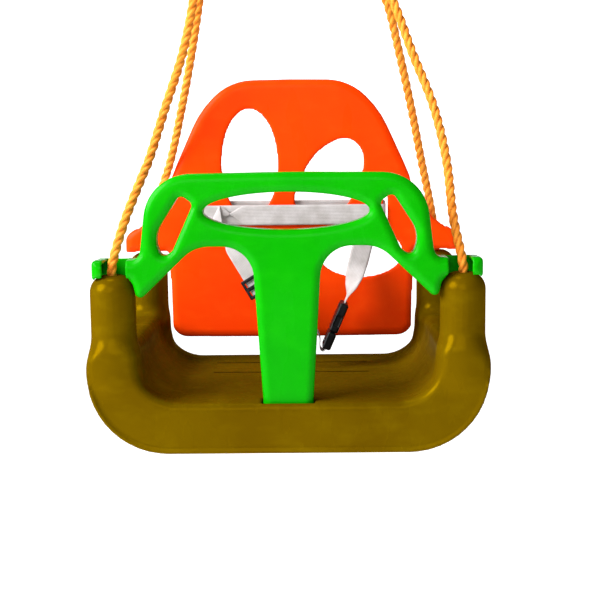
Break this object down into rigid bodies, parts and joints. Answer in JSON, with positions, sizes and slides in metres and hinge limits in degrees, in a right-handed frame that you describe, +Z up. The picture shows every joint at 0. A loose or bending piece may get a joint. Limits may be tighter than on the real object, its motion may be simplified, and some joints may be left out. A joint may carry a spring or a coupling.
{
  "type": "toddler bucket swing",
  "caption": "Moulded toddler swing: deep seat, lift-up T-bar guard, pierced backrest with a lap belt, and two rope bights hung from steel rings.",
  "frame": {"origin": "midway between the two hanging rings, level with where a hook bears on them", "axes": "+Z up; the child faces -Y; +X is to the right of someone who looks at the front of the swing"},
  "size_m": [0.432, 0.303, 0.586],
  "materials": {
    "seat_plastic": "glossy, faintly marbled",
    "guard_plastic": "glossy",
    "back_plastic": "satin",
    "rope_fibre": "three-strand laid rope",
    "webbing": "woven",
    "black_plastic": "fine grain",
    "steel": "zinc plated",
    "thimble_plastic": "plain"
  },
  "bodies": {
    "hanger": {"ring_left": "steel", "ring_right": "steel"},
    "seat": {"seat_shell": "seat_plastic", "rope_left": "rope_fibre", "rope_right": "rope_fibre", "thimble_left": "thimble_plastic", "thimble_right": "thimble_plastic", "knot_front_left": "rope_fibre", "knot_front_right": "rope_fibre", "knot_rear_left": "rope_fibre", "knot_rear_right": "rope_fibre", "washer_front_left": "steel", "washer_front_right": "steel", "washer_rear_left": "steel", "washer_rear_right": "steel"},
    "guard": {"guard_bar": "guard_plastic"},
    "back": {"backrest": "back_plastic", "belt_webbing": "webbing", "buckle_socket": "black_plastic"},
    "slider": {"belt_slider": "black_plastic"},
    "plug": {"buckle_plug": "black_plastic", "belt_tail": "webbing"}
  },
  "joints": [
    {"name": "swing", "type": "hinge", "parent": "hanger", "child": "seat", "pos_m": [0, 0, -0.03728], "axis": [1, 0, 0], "range_deg": [-40, 40]},
    {"name": "guard_lift", "type": "slide", "parent": "seat", "child": "guard", "axis": [0, 0, 1], "range_m": [0, 0.034]},
    {"name": "backrest_lift", "type": "slide", "parent": "seat", "child": "back", "axis": [0, 0, 1], "range_m": [0, 0.005]},
    {"name": "slider_travel", "type": "slide", "parent": "back", "child": "slider", "axis": [-0.5146, 0.1634, 0.8417], "range_m": [0, 0.03]},
    {"name": "buckle_release", "type": "slide", "parent": "back", "child": "plug", "axis": [-0.3939, 0, -0.9191], "range_m": [0, 0.02], "deforming": ["belt_tail"]}
  ]
}
